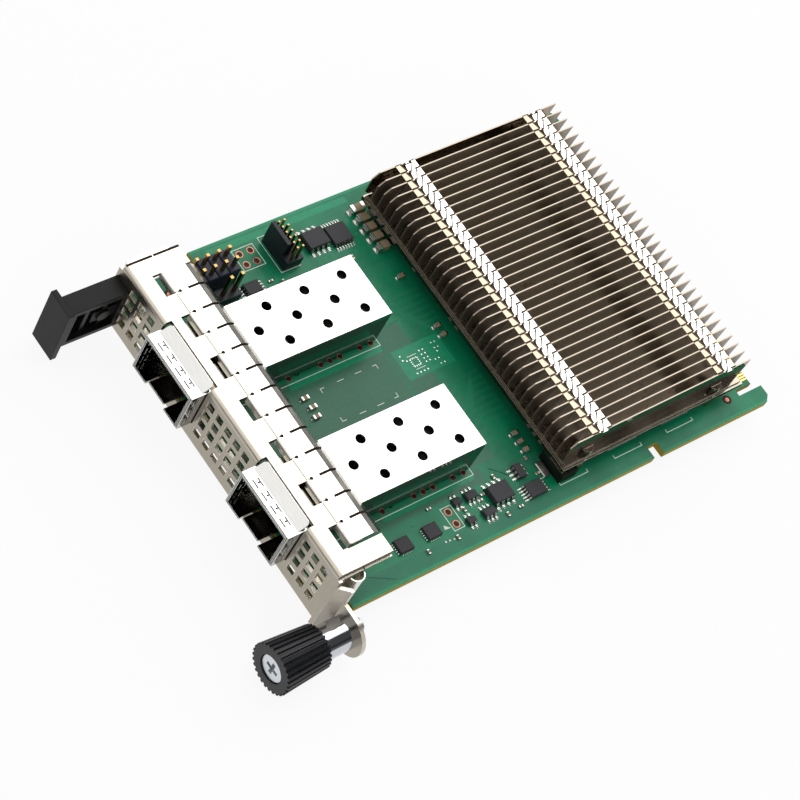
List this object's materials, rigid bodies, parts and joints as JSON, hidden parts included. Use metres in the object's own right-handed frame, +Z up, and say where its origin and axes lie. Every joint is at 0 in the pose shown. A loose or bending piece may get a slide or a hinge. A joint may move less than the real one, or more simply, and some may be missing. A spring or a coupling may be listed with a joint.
{
  "type": "network mezzanine card",
  "caption": "Low mezzanine network card: green board with card edge, folded metal bracket, open transceiver ports, finned heatsink, pull tab and captive thumbscrew.",
  "frame": {"origin": "point on the faceplate's outer face, level with the board's top surface, on the board's centre line", "axes": "+Y from the faceplate to the card edge, +Z up from the board's component side, +X towards the thumbscrew"},
  "size_m": [0.0841, 0.1287, 0.0172],
  "materials": {
    "solder_mask": "semi-gloss green solder mask over glass-epoxy",
    "gold": "bright gold plating",
    "brass": "plain brass",
    "nickel_sheet": "satin nickel-plated sheet",
    "plated_fins": "bright nickel-plated fin stock",
    "zinc_steel": "blue-white zinc plating",
    "chrome": "bright chrome",
    "black_plastic": "fine matte black",
    "connector_plastic": "matte black moulding",
    "chip_epoxy": "matte charcoal moulding compound",
    "tin": "tinned metal",
    "ceramic": "unglazed tan ceramic",
    "substrate": "green laminate",
    "lid_metal": "nickel-plated copper lid",
    "thermal_pad": "soft grey pad"
  },
  "bodies": {
    "root": {"bracket_nuts": "brass", "bracket_screws": "zinc_steel", "bulk_cap_bodies": "ceramic", "bulk_cap_ends": "tin", "chip_leads": "tin", "chip_lid": "lid_metal", "chip_logic_far": "chip_epoxy", "chip_logic_front": "chip_epoxy", "chip_logic_near": "chip_epoxy", "chip_memory_far": "chip_epoxy", "chip_memory_near": "chip_epoxy", "chip_power_front": "chip_epoxy", "chip_power_rear": "chip_epoxy", "chip_small_set": "chip_epoxy", "chip_substrate": "substrate", "circuit_board": "solder_mask", "crystal_can": "lid_metal", "edge_contacts": "gold", "finger_gasket": "nickel_sheet", "header_base_front": "connector_plastic", "header_base_pair": "connector_plastic", "header_base_rear": "connector_plastic", "header_pins": "gold", "heatsink_base": "plated_fins", "heatsink_fins": "plated_fins", "heatsink_screws": "zinc_steel", "heatsink_standoffs": "zinc_steel", "io_bracket": "nickel_sheet", "port_cage_far": "nickel_sheet", "port_cage_near": "nickel_sheet", "port_collar_far": "nickel_sheet", "port_collar_near": "nickel_sheet", "port_connector_far": "connector_plastic", "port_connector_near": "connector_plastic", "power_choke": "chip_epoxy", "pull_tab": "black_plastic", "pull_tab_screw": "zinc_steel", "side_spring_far": "nickel_sheet", "side_spring_near": "nickel_sheet", "small_cap_bodies": "ceramic", "small_cap_ends": "tin", "thermal_pad": "thermal_pad", "thumb_sleeve": "chrome", "thumb_spring": "chrome"},
    "thumb_slider": {"thumb_washer": "zinc_steel"},
    "thumb_turner": {"thumb_knob": "black_plastic", "thumb_screw": "zinc_steel"}
  },
  "joints": [
    {"name": "thumb_slide", "type": "slide", "parent": "root", "child": "thumb_slider", "axis": [0, 1, 0], "range_m": [0, 0.0045], "stiffness_N_per_m": 250, "springref_m": -0.003, "deforming": ["thumb_spring"]},
    {"name": "thumb_spin", "type": "hinge", "parent": "thumb_slider", "child": "thumb_turner", "pos_m": [0.041, -0.01, -0.0005], "axis": [0, 1, 0], "continuous": true}
  ]
}
